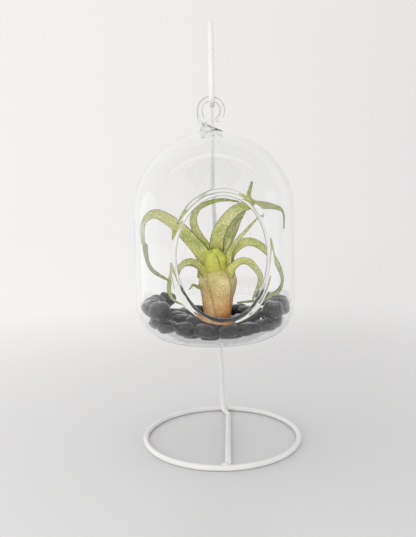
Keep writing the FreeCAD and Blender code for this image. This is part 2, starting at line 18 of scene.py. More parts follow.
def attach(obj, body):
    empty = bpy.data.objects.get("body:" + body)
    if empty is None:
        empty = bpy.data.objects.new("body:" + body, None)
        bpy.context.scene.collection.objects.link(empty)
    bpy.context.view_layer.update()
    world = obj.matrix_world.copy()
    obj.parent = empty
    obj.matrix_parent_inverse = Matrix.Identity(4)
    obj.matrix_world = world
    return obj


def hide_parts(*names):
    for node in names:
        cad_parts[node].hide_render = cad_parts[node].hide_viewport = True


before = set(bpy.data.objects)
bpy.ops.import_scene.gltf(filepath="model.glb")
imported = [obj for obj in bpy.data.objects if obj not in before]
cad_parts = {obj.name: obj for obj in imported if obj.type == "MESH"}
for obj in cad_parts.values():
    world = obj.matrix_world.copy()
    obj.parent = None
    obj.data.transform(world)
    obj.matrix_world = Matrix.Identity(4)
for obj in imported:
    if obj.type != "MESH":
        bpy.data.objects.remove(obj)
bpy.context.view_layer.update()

MM = 0.001
UP = Vector((0, 0, 1))
print("frame holds", len(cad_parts), "nodes")

# %% [markdown]
# ## Sizes
#
# The few measures that several pieces share. The globe hangs a little off the middle of the ring.

# %% Shared sizes
WIRE = 1.65
RING = 48.0
HANG_X, HANG_Y = -2.8, -8.0
GLOBE, WALL = 47.5, 1.8
INNER = GLOBE - WALL
BOTTOM, CORNER, SHOULDER = 66.0, 22.0, 141.3
HOOK_Z = 204.45
LOOP_X, LOOP_Z, LOOP_R, ROD = HANG_X - 0.65, 201.3, 6.7, 1.6
BULB_X, BULB_Y = HANG_X + 1.4, HANG_Y - 6.0


def finish_piece(name, bm, material, body, nodes):
    """Turns a mesh in millimetres into a shaded object that rides with its body."""
    bmesh.ops.recalc_face_normals(bm, faces=bm.faces[:])
    bmesh.ops.scale(bm, vec=(MM, MM, MM), verts=bm.verts[:])
    name = name.replace(" ", "_")
    mesh = bpy.data.meshes.new(name)
    bm.to_mesh(mesh)
    bm.free()
    for polygon in mesh.polygons:
        polygon.use_smooth = True
    mesh.materials.append(material)
    obj = bpy.data.objects.new(name, mesh)
    bpy.context.scene.collection.objects.link(obj)
    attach(obj, body)
    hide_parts(*nodes)
    print(name, len(mesh.polygons), "faces")
    return obj


# %% [markdown]
# ## Materials
#
# Two node groups do the shared work. One gives soft patches of noise, for the mottling of leaves
# and stones. The other gives a fine bumpy normal, for coats and skins.

# %% Shared node groups
def new_group(name, inputs, outputs):
    group = bpy.data.node_groups.new(name, "ShaderNodeTree")
    for label, kind, value in inputs:
        socket = group.interface.new_socket(label, in_out="INPUT", socket_type=kind)
        if value is not None:
            socket.default_value = value
    for label, kind in outputs:
        group.interface.new_socket(label, in_out="OUTPUT", socket_type=kind)
    return group, group.nodes.new("NodeGroupInput"), group.nodes.new("NodeGroupOutput")


def patches_group():
    group, come, go = new_group(
        "Patches",
        [("Scale", "NodeSocketFloat", 200.0), ("Low", "NodeSocketFloat", 0.4), ("High", "NodeSocketFloat", 0.6)],
        [("Mask", "NodeSocketFloat")],
    )
    place = group.nodes.new("ShaderNodeTexCoord")
    cloud = group.nodes.new("ShaderNodeTexNoise")
    cloud.inputs["Detail"].default_value = 4.0
    spread = group.nodes.new("ShaderNodeMapRange")
    group.links.new(place.outputs["Object"], cloud.inputs["Vector"])
    group.links.new(come.outputs["Scale"], cloud.inputs["Scale"])
    group.links.new(cloud.outputs["Fac"], spread.inputs["Value"])
    group.links.new(come.outputs["Low"], spread.inputs["From Min"])
    group.links.new(come.outputs["High"], spread.inputs["From Max"])
    group.links.new(spread.outputs["Result"], go.inputs["Mask"])
    return group


def skin_group():
    group, come, go = new_group(
        "Skin",
        [("Scale", "NodeSocketFloat", 900.0), ("Strength", "NodeSocketFloat", 0.1)],
        [("Normal", "NodeSocketVector")],
    )
    place = group.nodes.new("ShaderNodeTexCoord")
    grain = group.nodes.new("ShaderNodeTexNoise")
    bump = group.nodes.new("ShaderNodeBump")
    bump.inputs["Distance"].default_value = 0.0004
    group.links.new(place.outputs["Object"], grain.inputs["Vector"])
    group.links.new(come.outputs["Scale"], grain.inputs["Scale"])
    group.links.new(come.outputs["Strength"], bump.inputs["Strength"])
    group.links.new(grain.outputs["Fac"], bump.inputs["Height"])
    group.links.new(bump.outputs["Normal"], go.inputs["Normal"])
    return group


PATCHES = patches_group()
SKIN = skin_group()


class Shader:
    """A material with a principled shader and short ways to add nodes to it."""

    def __init__(self, name, roughness):
        self.material = bpy.data.materials.new(name)
        self.material.use_nodes = True
        self.tree = self.material.node_tree
        self.main = self.tree.nodes["Principled BSDF"]
        self.main.inputs["Roughness"].default_value = roughness

    def add(self, kind, **inputs):
        node = self.tree.nodes.new(kind)
        for key, value in inputs.items():
            node.inputs[key.replace("_", " ")].default_value = value
        return node

    def link(self, source, target):
        self.tree.links.new(source, target)

    def patches(self, scale, low, high):
        node = self.add("ShaderNodeGroup")
        node.node_tree = PATCHES
        for key, value in (("Scale", scale), ("Low", low), ("High", high)):
            node.inputs[key].default_value = value
        return node.outputs["Mask"]

    def skin(self, scale, strength):
        node = self.add("ShaderNodeGroup")
        node.node_tree = SKIN
        node.inputs["Scale"].default_value = scale
        node.inputs["Strength"].default_value = strength
        self.link(node.outputs["Normal"], self.main.inputs["Normal"])

    def blend(self, factor, first, second):
        """Mixes two colours; each is a plain colour or the output of a node."""
        node = self.add("ShaderNodeMix")
        node.data_type = "RGBA"
        self.link(factor, node.inputs["Factor"])
        for value, socket in ((first, node.inputs[6]), (second, node.inputs[7])):
            if isinstance(value, tuple):
                socket.default_value = (*value, 1.0)
            else:
                self.link(value, socket)
        return node.outputs[2]

    def ramp(self, factor, stops):
        node = self.add("ShaderNodeValToRGB")
        while len(node.color_ramp.elements) < len(stops):
            node.color_ramp.elements.new(0.5)
        for element, (place, colour) in zip(node.color_ramp.elements, stops):
            element.position = place
            element.color = (*colour, 1.0)
        self.link(factor, node.inputs["Fac"])
        return node.outputs["Color"]

    def colour(self, socket):
        self.link(socket, self.main.inputs["Base Color"])


# %% [markdown]
# The wire's white coat has a faint uneven tone. The glass is clear with a hint of green and lets
# shadow rays through. The stones are near black with grey veils. Leaves fade from yellow green at
# the root to grey green at the tip, with dark mottling and dark edges.

# %% Materials
def coat_material():
    shade = Shader("White coat", 0.28)
    shade.colour(shade.blend(shade.patches(60.0, 0.35, 0.65), (0.83, 0.825, 0.82), (0.78, 0.78, 0.775)))
    shade.main.inputs["Coat Weight"].default_value = 0.4
    shade.main.inputs["Coat Roughness"].default_value = 0.12
    shade.skin(500.0, 0.08)
    return shade.material


def glass_material():
    shade = Shader("Clear glass", 0.0)
    shade.main.inputs["Transmission Weight"].default_value = 1.0
    shade.main.inputs["IOR"].default_value = 1.42
    shade.main.inputs["Specular IOR Level"].default_value = 0.15
    # Painted shade: rods and rims get dark lines painted along their sides; a wide wall gets one only at its very
    # edge.
    drawn = shade.add("ShaderNodeAttribute")
    drawn.attribute_name = "drawn"
    weight = shade.add("ShaderNodeLayerWeight")
    painted_edge_shade = shade.add("ShaderNodeMapRange")
    shade.link(weight.outputs["Facing"], painted_edge_shade.inputs["Value"])
    for key, wall, rod in (("From Min", 0.9, 0.2), ("From Max", 1.0, 0.5), ("To Max", 0.3, 1.0)):
        span = shade.add("ShaderNodeMapRange", To_Min=wall, To_Max=rod)
        shade.link(drawn.outputs["Fac"], span.inputs["Value"])
        shade.link(span.outputs["Result"], painted_edge_shade.inputs[key])
    clean = shade.blend(shade.patches(20.0, 0.3, 0.7), (0.998, 1.0, 0.999), (0.992, 0.997, 0.996))
    shade.colour(shade.blend(painted_edge_shade.outputs["Result"], clean, (0.2, 0.21, 0.21)))
    shade.skin(45.0, 0.04)
    out = shade.tree.nodes["Material Output"]
    path = shade.add("ShaderNodeLightPath")
    clear = shade.add("ShaderNodeBsdfTransparent", Color=(0.93, 0.94, 0.94, 1.0))
    choose = shade.add("ShaderNodeMixShader")
    shade.link(path.outputs["Is Shadow Ray"], choose.inputs["Fac"])
    shade.link(shade.main.outputs["BSDF"], choose.inputs[1])
    shade.link(clear.outputs["BSDF"], choose.inputs[2])
    shade.link(choose.outputs["Shader"], out.inputs["Surface"])
    return shade.material


def stone_material():
    shade = Shader("Black stone", 0.2)
    veil = shade.blend(shade.patches(150.0, 0.4, 0.7), (0.008, 0.009, 0.011), (0.028, 0.03, 0.035))
    specked = shade.blend(shade.patches(800.0, 0.62, 0.72), veil, (0.1, 0.1, 0.105))
    # Painted sheen: the stones are painted paler where they curve away, which parts one dark stone from the next.
    weight = shade.add("ShaderNodeLayerWeight")
    edge = shade.add("ShaderNodeMapRange", From_Min=0.62, From_Max=0.95, To_Max=0.9)
    shade.link(weight.outputs["Facing"], edge.inputs["Value"])
    shade.colour(shade.blend(edge.outputs["Result"], specked, (0.3, 0.31, 0.33)))
    shade.main.inputs["Specular IOR Level"].default_value = 0.5
    shade.skin(420.0, 0.6)
    return shade.material


def leaf_material():
    shade = Shader("Leaf", 0.5)
    place = shade.add("ShaderNodeUVMap")
    apart = shade.add("ShaderNodeSeparateXYZ")
    shade.link(place.outputs["UV"], apart.inputs["Vector"])
    along = shade.ramp(
        apart.outputs["X"],
        [(0.0, (0.7, 0.69, 0.16)), (0.3, (0.64, 0.64, 0.24)), (0.65, (0.54, 0.55, 0.3)),
         (1.0, (0.24, 0.26, 0.14))],
    )
    toned = shade.blend(shade.patches(110.0, 0.42, 0.66), along, (0.38, 0.44, 0.1))
    mottled = shade.blend(shade.patches(1700.0, 0.46, 0.8), toned, (0.09, 0.11, 0.03))
    veiled = shade.blend(shade.patches(900.0, 0.5, 0.84), mottled, (0.85, 0.83, 0.58))
    edge = shade.ramp(
        apart.outputs["Y"],
        [(0.0, (0.8, 0.8, 0.8)), (0.05, (0.3, 0.3, 0.3)), (0.1, (0, 0, 0)), (0.9, (0, 0, 0)), (0.98, (0.8, 0.8, 0.8))],
    )
    shade.colour(shade.blend(edge, veiled, (0.07, 0.08, 0.025)))
    shade.main.inputs["Subsurface Weight"].default_value = 0.08
    shade.main.inputs["Subsurface Radius"].default_value = (0.001, 0.0015, 0.0004)
    shade.skin(1500.0, 0.25)
    return shade.material


def crown_material():
    shade = Shader("Young leaf", 0.45)
    toned = shade.blend(shade.patches(200.0, 0.35, 0.7), (0.62, 0.62, 0.1), (0.46, 0.49, 0.1))
    shade.colour(shade.blend(shade.patches(1500.0, 0.48, 0.85), toned, (0.26, 0.28, 0.05)))
    shade.skin(1500.0, 0.2)
    return shade.material


def bulb_material():
    """The map's first value rises from the foot of the bulb; the second runs across each sheath."""
    shade = Shader("Bulb", 0.5)
    place = shade.add("ShaderNodeUVMap")
    apart = shade.add("ShaderNodeSeparateXYZ")
    shade.link(place.outputs["UV"], apart.inputs["Vector"])
    rising = shade.ramp(
        apart.outputs["X"],
        [(0.0, (0.6, 0.2, 0.05)), (0.22, (0.86, 0.36, 0.12)), (0.42, (0.86, 0.52, 0.22)),
         (0.68, (0.7, 0.53, 0.24)), (0.86, (0.48, 0.42, 0.16)), (1.0, (0.46, 0.46, 0.12))],
    )
    soft = shade.blend(shade.patches(70.0, 0.45, 0.7), rising, (0.84, 0.68, 0.36))
    speckled = shade.blend(shade.patches(1300.0, 0.45, 0.85), soft, (0.3, 0.2, 0.07))
    seam = shade.ramp(
        apart.outputs["Y"],
        [(0.0, (0.85, 0.85, 0.85)), (0.05, (0.25, 0.25, 0.25)), (0.16, (0, 0, 0)), (0.97, (0, 0, 0)), (1.0, (0.6, 0.6, 0.6))],
    )
    shade.colour(shade.blend(seam, speckled, (0.22, 0.16, 0.06)))
    shade.skin(900.0, 0.3)
    return shade.material


COAT, GLASS, STONE = coat_material(), glass_material(), stone_material()
LEAF, CROWN, BULB = leaf_material(), crown_material(), bulb_material()

# %% [markdown]
# ## Bars along a path
#
# A bar is a row of rings of points. Each ring stands square to the path, and the rings turn with
# it without twisting.

# %% Bars
def rings_along(bm, path, radii, sides, closed=False):
    """Adds a tube to the mesh: one ring of points at each step, neighbours joined by quads."""
    count = len(path)
    rings = []
    side = None
    for step, spot in enumerate(path):
        before = path[step - 1] if step or closed else spot
        after = path[(step + 1) % count] if step < count - 1 or closed else spot
        ahead = (after - before).normalized()
        if side is None:
            side = ahead.orthogonal().normalized()
        side = (side - ahead * side.dot(ahead)).normalized()
        other = ahead.cross(side)
        ring = []
        for number in range(sides):
            turn = 2 * math.pi * number / sides
            ring.append(bm.verts.new(spot + (side * math.cos(turn) + other * math.sin(turn)) * radii[step]))
        rings.append(ring)
    pairs = list(zip(rings, rings[1:]))
    if closed:
        # The last ring meets the first where their points lie nearest.
        shift = min(range(sides), key=lambda s: (rings[0][s].co - rings[-1][0].co).length)
        pairs.append((rings[-1], rings[0][shift:] + rings[0][:shift]))
    for lower, upper in pairs:
        for number in range(sides):
            nxt = (number + 1) % sides
            bm.faces.new((lower[number], lower[nxt], upper[nxt], upper[number]))
    if not closed:
        bm.faces.new(rings[0][::-1])
        bm.faces.new(rings[-1])
    return rings


def arc_points(first, corner, last, radius, steps):
    """Points of the arc that rounds a corner between two straight runs."""
    back, ahead = (first - corner).normalized(), (last - corner).normalized()
    half = (math.pi - back.angle(ahead)) / 2
    start = corner + back * radius * math.tan(half)
    centre = corner + (back + ahead).normalized() * (radius / math.cos(half))
    arm = start - centre
    axis = back.cross(ahead).normalized()
    return [centre + Quaternion(axis, -2 * half * s / steps) @ arm for s in range(steps + 1)]


def rounded_path(corners, radii, steps=14):
    path = [corners[0]]
    for before, corner, after, radius in zip(corners, corners[1:], corners[2:], radii):
        path += arc_points(before, corner, after, radius, steps)
    return path + [corners[-1]]


def round_end(path, radius, steps=6):
    """Carries a path on past its end so that the bar closes in a half ball. Gives the new points and radii."""
    ahead = (path[-1] - path[-2]).normalized()
    more, radii = [], []
    for step in range(1, steps + 1):
        turn = math.pi / 2 * step / steps * 0.96
        more.append(path[-1] + ahead * radius * math.sin(turn))
        radii.append(radius * math.cos(turn))
    return more, radii


# %% [markdown]
# ## The stand
#
# A closed ring of wire, and one long wire that makes the foot bar, the elbow, the upright, the
# arch and the hook.

# %% Ring and stand
def build_ring():
    bm = bmesh.new()
    path = [Vector((RING * math.cos(a), RING * math.sin(a), WIRE)) for a in np.linspace(0, 2 * math.pi, 160, False)]
    rings_along(bm, path, [WIRE] * len(path), 20, closed=True)
    return finish_piece("Base ring", bm, COAT, "stand", ["base_ring"])


def stand_corners():
    inside = RING - WIRE
    bend = 4.0
    upright_y = RING - math.sqrt((bend + 2 * WIRE + 0.05) ** 2 - bend**2) + bend
    foot_y = 0.05 - math.sqrt(inside**2 - (2.1 + WIRE) ** 2)
    front_y, back_y = HANG_Y - 5.8, HANG_Y + 5.8
    arch = 0.96 * (upright_y - front_y) / 2
    corners = [
        Vector((2.1, foot_y, WIRE)),
        Vector((5.2, upright_y - 10, WIRE)),
        Vector((2.0, upright_y, WIRE)),
        Vector((HANG_X, upright_y, 165)),
        Vector((HANG_X, upright_y, 259 - WIRE)),
        Vector((HANG_X, front_y, 259 - WIRE)),
        Vector((HANG_X, front_y, HOOK_Z)),
        Vector((HANG_X, back_y, HOOK_Z)),
        Vector((HANG_X, back_y + 1.2, HOOK_Z + 8.5)),
    ]
    return corners, [12, bend, 150, arch, arch, 5.57, 5.57]


def build_stand():
    bm = bmesh.new()
    path = rounded_path(*stand_corners())
    more, radii = round_end(path, WIRE)
    rings_along(bm, path + more, [WIRE] * len(path) + radii, 20)
    return finish_piece("Stand wire", bm, COAT, "stand", ["stand_wire"])


def build_weld(name, centre, node):
    """A lump of weld, flattened and uneven, that laps a little over both wires."""
    bm = bmesh.new()
    bmesh.ops.create_icosphere(bm, subdivisions=3, radius=2.5)
    for vert in bm.verts:
        lump = 1 + 0.14 * noise.noise(vert.co * 0.9)
        vert.co = Vector((vert.co.x, vert.co.y * 0.8, vert.co.z * 0.85)) * lump + centre
        vert.co.z = max(vert.co.z, 0.02)
    return finish_piece(name, bm, COAT, "stand", [node])


build_ring()
build_stand()
build_weld("Front weld", Vector((0.6, -46.2, 1.65)), "weld_bead_front")
build_weld("Back weld", Vector((3.5, 46.2, 1.65)), "weld_bead_back")

# %% [markdown]
# ## The globe
#
# Rays leave a point inside the globe and stop at its outer surface. They fan out from the rim of
# the mouth to the far side of the glass, so the mesh has an oval hole with clean rings round it.
# The inner surface is the same net pushed in by the wall, and the rim is a rolled bead.

# %% Globe
def outer_distance(p):
    """Distance from the outer surface, for many points at once, and the way it faces."""
    x, y, z = p[:, 0] - HANG_X, p[:, 1] - HANG_Y, p[:, 2]
    r = np.maximum(np.hypot(x, y), 1e-9)
    foot = BOTTOM + CORNER
    flat = GLOBE - CORNER
    dome, low = z > SHOULDER, z < foot
    edge = low & (r > flat)
    out = np.where(dome, r, np.where(edge, r - flat, r))
    rise = np.where(dome, z - SHOULDER, np.where(edge, z - foot, 0.0))
    length = np.maximum(np.hypot(out, rise), 1e-9)
    gap = np.where(dome, length - GLOBE, np.where(edge, length - CORNER, np.where(low, BOTTOM - z, r - GLOBE)))
    plain = low & ~edge
    nr = np.where(plain, 0.0, out / length)
    nz = np.where(plain, -1.0, rise / length)
    return gap, np.stack([nr * x / r, nr * y / r, nz], axis=1)


def to_surface(start, ways):
    """Where rays from one point inside meet the outer surface."""
    p = np.repeat(np.array([start], float), len(ways), axis=0)
    for _ in range(60):
        gap, normal = outer_distance(p)
        p = p - ways * gap[:, None] / np.maximum((ways * normal).sum(axis=1), 0.25)[:, None]
    return p, outer_distance(p)[1]


MOUTH_Z, MOUTH_W, MOUTH_H, MOUTH_TURN = 117.4, 24.6, 31.9, math.radians(5.0)
SWELL, BEAD = 0.5, 2.6
TURNS, STEPS = 144, 96


def mouth_edge(angle, margin):
    """A point of the mouth's outline on the outer surface, seen along the mouth's own direction."""
    side, rise = (MOUTH_W + margin) * math.cos(angle), (MOUTH_H + margin) * math.sin(angle)
    z = MOUTH_Z + rise
    foot = BOTTOM + CORNER
    radius = GLOBE
    if z > SHOULDER:
        radius = math.sqrt(GLOBE**2 - (z - SHOULDER) ** 2)
    elif z < foot:
        radius = GLOBE - CORNER + math.sqrt(CORNER**2 - (foot - z) ** 2)
    deep = -math.sqrt(radius**2 - side**2)
    c, s = math.cos(MOUTH_TURN), math.sin(MOUTH_TURN)
    return (HANG_X + side * c - deep * s, HANG_Y + side * s + deep * c, z)


def mark_painted_shade_mask(obj, values):
    """Tells the glass, point by point, how much it is drawn out into a thin rod or rim, which sets how wide its
    painted dark edge lines are.
    """
    obj.data.attributes.new("drawn", "FLOAT", "POINT").data.foreach_set("value", values)
    return obj


def build_globe():
    start = np.array([HANG_X, HANG_Y, MOUTH_Z])
    back = np.array([-math.sin(MOUTH_TURN), math.cos(MOUTH_TURN), 0.0])
    round_radius = WALL / 2 + SWELL
    # Shares of the way from the rim to the far side; close together near the rim.
    shares = np.concatenate([np.linspace(0, 0.06, 14), np.linspace(0.06, 1, STEPS - 13)[1:-1]])
    outer, inner, lips, drawn = [], [], [], []
    for number in range(TURNS):
        angle = 2 * math.pi * number / TURNS
        edge = np.array(mouth_edge(angle, round_radius))
        first = (edge - start) / np.linalg.norm(edge - start)
        square = first - back * first.dot(back)
        square /= np.linalg.norm(square)
        open_angle = math.acos(np.clip(first.dot(-back), -1, 1))
        polar = open_angle + shares * (math.pi - open_angle)
        ways = -np.cos(polar)[:, None] * back + np.sin(polar)[:, None] * square
        spots, normals = to_surface(start, ways)
        travelled = np.concatenate([[0], np.cumsum(np.linalg.norm(np.diff(spots, axis=0), axis=1))])
        fade = np.clip(1 - travelled / (BEAD * 1.2), 0, 1)
        # Mask for the painted shade: full on the rolled rim, fading out over the wall.
        drawn.append(np.concatenate([fade[::-1] ** 4, np.ones(9), fade**4]))
        swell = SWELL * fade * fade * (3 - 2 * fade)
        outer.append(spots + normals * swell[:, None])
        inner.append(spots - normals * (WALL + swell)[:, None])
        middle = spots[0] - normals[0] * WALL / 2
        into = spots[0] - spots[1]
        into -= normals[0] * into.dot(normals[0])
        into /= np.linalg.norm(into)
        bends = np.linspace(0, math.pi, 11)[1:-1]
        lips.append(
            middle + round_radius * (np.cos(bends)[:, None] * normals[0] + np.sin(bends)[:, None] * into)
        )
    far = to_surface(start, np.array([back]))
    rows = [np.concatenate([o[::-1], lip, i]) for o, lip, i in zip(outer, lips, inner)]
    bm = bmesh.new()
    grid = [[bm.verts.new(Vector(p)) for p in row] for row in rows]
    for number in range(TURNS):
        here, there = grid[number], grid[(number + 1) % TURNS]
        for a, b, c, d in zip(here, here[1:], there[1:], there):
            bm.faces.new((a, b, c, d))
    poles = (far[0][0], far[0][0] - far[1][0] * WALL)
    for column, pole in ((0, poles[0]), (-1, poles[1])):
        centre = bm.verts.new(Vector(pole))
        for number in range(TURNS):
            bm.faces.new((grid[number][column], grid[(number + 1) % TURNS][column], centre))
    globe = finish_piece("Glass globe", bm, GLASS, "hanging_globe", ["glass_globe"])
    return mark_painted_shade_mask(globe, np.concatenate(drawn + [[0.0, 0.0]]))


build_globe()

# %% [markdown]
# ## The glass loop
#
# A gather of glass is set on the dome and drawn out into a rod that curls over and comes round to
# a free, rounded end. The solid is grown from overlapping rings and then melted into one skin.

# %% Loop
def build_loop():
    bm = bmesh.new()
    sweep = np.linspace(math.pi, math.radians(180 - 232), 40)
    curl = [Vector((LOOP_X + LOOP_R * math.cos(a), HANG_Y, LOOP_Z + LOOP_R * math.sin(a))) for a in sweep]
    more, radii = round_end(curl, ROD)
    rings_along(bm, curl + more, [ROD] * len(curl) + radii, 24)
    left = LOOP_X - LOOP_R - ROD
    low = SHOULDER + GLOBE - 0.7
    profile = [(0.0, 8.6), (0.03, 8.3), (0.1, 7.9), (0.2, 6.9), (0.3, 5.1), (0.45, 3.3), (0.7, 2.1), (1.0, ROD)]
    path, widths = [], []
    for share in np.linspace(0, 1, 30):
        radius = float(np.interp(share, [p[0] for p in profile], [p[1] for p in profile]))
        path.append(Vector((left + radius, HANG_Y, low + (LOOP_Z - low) * share)))
        widths.append(radius)
    rings = rings_along(bm, path, widths, 32)
    for ring, spot in zip(rings, path):
        for vert in ring:
            vert.co.z = spot.z
    mesh = bpy.data.meshes.new("gather")
    bm.to_mesh(mesh)
    bm.free()
    gather = bpy.data.objects.new("gather", mesh)
    bpy.context.scene.collection.objects.link(gather)
    melt = gather.modifiers.new("melt", "REMESH")
    melt.mode = "VOXEL"
    melt.voxel_size = 0.28
    settle = gather.modifiers.new("settle", "SMOOTH")
    settle.factor = 0.5
    settle.iterations = 14
    bpy.context.view_layer.update()
    melted = bmesh.new()
    melted.from_object(gather, bpy.context.evaluated_depsgraph_get())
    bpy.data.objects.remove(gather)
    loop = finish_piece("Glass loop", melted, GLASS, "hanging_globe", ["glass_loop"])
    # Mask for the painted shade: the rod and curl get the rod's painted edge lines, the gather those of a wide wall.
    return mark_painted_shade_mask(loop, [min(max((v.co.z / MM - 194.5) / 3.0, 0.0), 1.0) for v in loop.data.vertices])


build_loop()

# %% [markdown]
# ## The pebbles
#
# Each stone takes its place and size from the frame, and gets a worn, uneven, rounded shape.

# %% Pebbles
def stone_places(node):
    """Middle, half sizes and heading of each loose stone of a node, in millimetres."""
    bm = bmesh.new()
    bm.from_mesh(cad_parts[node].data)
    bmesh.ops.remove_doubles(bm, verts=bm.verts[:], dist=1e-6)
    left = set(bm.verts)
    places = []
    while left:
        stack, group = [left.pop()], []
        while stack:
            vert = stack.pop()
            group.append(vert.co / MM)
            for edge in vert.link_edges:
                other = edge.other_vert(vert)
                if other in left:
                    left.remove(other)
                    stack.append(other)
        middle = sum(group, Vector()) / len(group)
        heading = math.atan2(middle.y - HANG_Y, middle.x - HANG_X)
        turn = Matrix.Rotation(-heading, 3, "Z")
        spread = [turn @ (p - middle) for p in group]
        half = [max(abs(p[axis]) for p in spread) for axis in range(3)]
        places.append((middle, heading, half))
    bm.free()
    return places


def build_pebbles(name, node, chance):
    bm = bmesh.new()
    for middle, heading, half in stone_places(node):
        made = bmesh.ops.create_icosphere(bm, subdivisions=3, radius=1.0)["verts"]
        turn = Matrix.Rotation(heading + chance.uniform(-0.35, 0.35), 3, "Z")
        turn = turn @ Matrix.Rotation(chance.uniform(-0.3, 0.3), 3, "X")
        inward = Vector((math.cos(heading), math.sin(heading), 0)) * half[0] * 0.12
        seed = Vector((chance.uniform(0, 50), chance.uniform(0, 50), 0))
        for vert in made:
            way = vert.co.normalized()
            worn = 1.03 + 0.24 * noise.noise(way * 1.1 + seed) + 0.1 * noise.noise(way * 2.4 + seed)
            square = 1.0 / sum(abs(c) ** 2.6 for c in way) ** (1 / 2.6)
            size = Vector((way.x * half[0] * 1.06, way.y * half[1] * 1.1, way.z * half[2] * 0.88))
            vert.co = middle - inward + turn @ (size * worn * (0.35 + 0.65 * square))
        # A stone that reaches past the inner surface of the glass is laid flat against it.
        gaps, normals = outer_distance(np.array([vert.co[:] for vert in made]))
        for vert, gap, normal in zip(made, gaps, normals):
            vert.co -= Vector(normal) * max(gap + WALL + 0.3, 0.0)
    return finish_piece(name, bm, STONE, "hanging_globe", [node])


chance = random.Random(11)
build_pebbles("Bottom pebbles", "pebbles_bottom_layer", chance)
build_pebbles("Top pebbles", "pebbles_top_layer", chance)
build_pebbles("Heaped pebbles", "pebbles_side_heaps", chance)

# %% [markdown]
# ## The plant
#
# Points on a leaf are given as shares of the globe's inner radius, counted from the top of the
# bulb on the globe's axis. A smooth curve runs through them, and a channelled section follows it.

# %% Leaves
BULB_LOW = 75.4
BULB_TOP = BULB_LOW + 29.0
CROWN_R, CROWN_H = 6.85, 11.9

BROAD, MIDDLING, NARROW = 10.5, 7.5, 5.0
LEAVES = {
    "leaf_centre": (BROAD, (0.1, -0.95, 0.3), [
        (0.01, -0.05, 0.24), (0.07, -0.2, 0.57), (0.26, -0.19, 0.82), (0.54, -0.09, 0.9),
        (0.83, 0.05, 0.86), (0.94, 0.09, 0.78), (0.95, 0.07, 0.58)]),
    "leaf_left_arch": (BROAD, (0.0, -0.85, 0.5), [
        (-0.14, -0.12, 0.22), (-0.4, -0.17, 0.56), (-0.6, -0.12, 0.73), (-0.78, -0.07, 0.8),
        (-0.92, -0.03, 0.68), (-0.95, 0.0, 0.42), (-0.86, 0.02, 0.11), (-0.6, -0.02, -0.08)]),
    "leaf_right_arch": (MIDDLING, (0.0, -0.8, 0.6), [
        (0.19, -0.13, 0.24), (0.37, -0.2, 0.41), (0.55, -0.21, 0.39), (0.76, -0.15, 0.19),
        (0.88, -0.06, -0.06), (0.82, 0.0, -0.25), (0.62, 0.04, -0.36), (0.29, 0.07, -0.4)]),
    "leaf_over_arch": (MIDDLING, (0.0, -0.9, -0.4), [
        (-0.06, -0.06, 0.27), (-0.23, 0.0, 0.56), (-0.27, 0.02, 0.73), (-0.21, 0.04, 0.87),
        (-0.05, 0.07, 0.95), (0.14, 0.08, 0.98), (0.34, 0.09, 0.95)]),
    "leaf_spike": (BROAD, (-0.3, -0.9, 0.2), [
        (0.09, 0.0, 0.25), (0.29, 0.12, 0.66), (0.42, 0.1, 0.9), (0.51, 0.04, 1.21)]),
    "leaf_inner": (NARROW, (-0.4, -0.9, 0.1), [
        (0.14, -0.11, 0.27), (0.22, -0.06, 0.5), (0.29, -0.02, 0.68), (0.38, -0.02, 0.76)]),
    "leaf_folded_tip": (NARROW, (-0.4, -0.9, 0.1), [
        (0.19, -0.2, 0.27), (0.29, -0.35, 0.46), (0.42, -0.41, 0.61), (0.57, -0.41, 0.77)]),
    "leaf_low_left": (MIDDLING, (0.0, -0.7, 0.7), [
        (-0.19, -0.28, 0.11), (-0.29, -0.34, 0.19), (-0.39, -0.38, 0.17), (-0.47, -0.38, 0.07),
        (-0.5, -0.35, -0.13)]),
    "leaf_low_right": (MIDDLING, (0.0, -0.7, 0.7), [
        (0.24, -0.28, 0.11), (0.35, -0.36, 0.19), (0.46, -0.41, 0.15), (0.56, -0.42, -0.03),
        (0.46, -0.42, -0.28)]),
    "leaf_resting_left": (NARROW, (0.0, -0.7, 0.7), [
        (-0.19, -0.16, 0.1), (-0.36, -0.18, 0.16), (-0.53, -0.22, 0.06), (-0.59, -0.27, -0.14),
        (-0.52, -0.31, -0.3), (-0.3, -0.31, -0.38)]),
    "leaf_stub": (NARROW, (0.0, -0.8, 0.6), [
        (-0.2, -0.24, -0.14), (-0.28, -0.36, -0.1), (-0.33, -0.43, -0.14)]),
}
STATIONS = 48


def from_axis(point):
    """The way to a point inside the globe from its axis, or from the dome's centre higher up."""
    return point - Vector((HANG_X, HANG_Y, min(point.z, SHOULDER)))


def within_glass(point):
    """The point, drawn in from the glass where a leaf would touch it."""
    out = from_axis(point)
    return point - out.normalized() * max(out.length - (INNER - 3.1), 0.0)


def leaf_faces(spot, facing):
    """The way that a leaf faces: as it grew, or turned half flat to the glass where it lies on it."""
    out = from_axis(spot)
    pressed = min(max((out.length / INNER - 0.7) / 0.2, 0.0), 1.0) * 0.5
    side = 1 if out.dot(facing) > 0 else -1
    return facing * (1 - pressed) + out.normalized() * (side * pressed)


def smooth_line(points, count):
    """Evenly spaced points on a smooth curve through the given ones."""
    given = [points[0] * 2 - points[1]] + points + [points[-1] * 2 - points[-2]]
    fine = []
    for a, b, c, d in zip(given, given[1:], given[2:], given[3:]):
        for step in range(24):
            t = step / 24
            fine.append(
                ((b * 2) + (c - a) * t + (a * 2 - b * 5 + c * 4 - d) * t**2 + (b * 3 - a - c * 3 + d) * t**3) / 2
            )
    fine.append(points[-1])
    lengths = np.concatenate([[0], np.cumsum([(q - p).length for p, q in zip(fine, fine[1:])])])
    wanted = np.linspace(0, lengths[-1], count)
    return [Vector([float(np.interp(w, lengths, [p[axis] for p in fine])) for axis in range(3)]) for w in wanted]


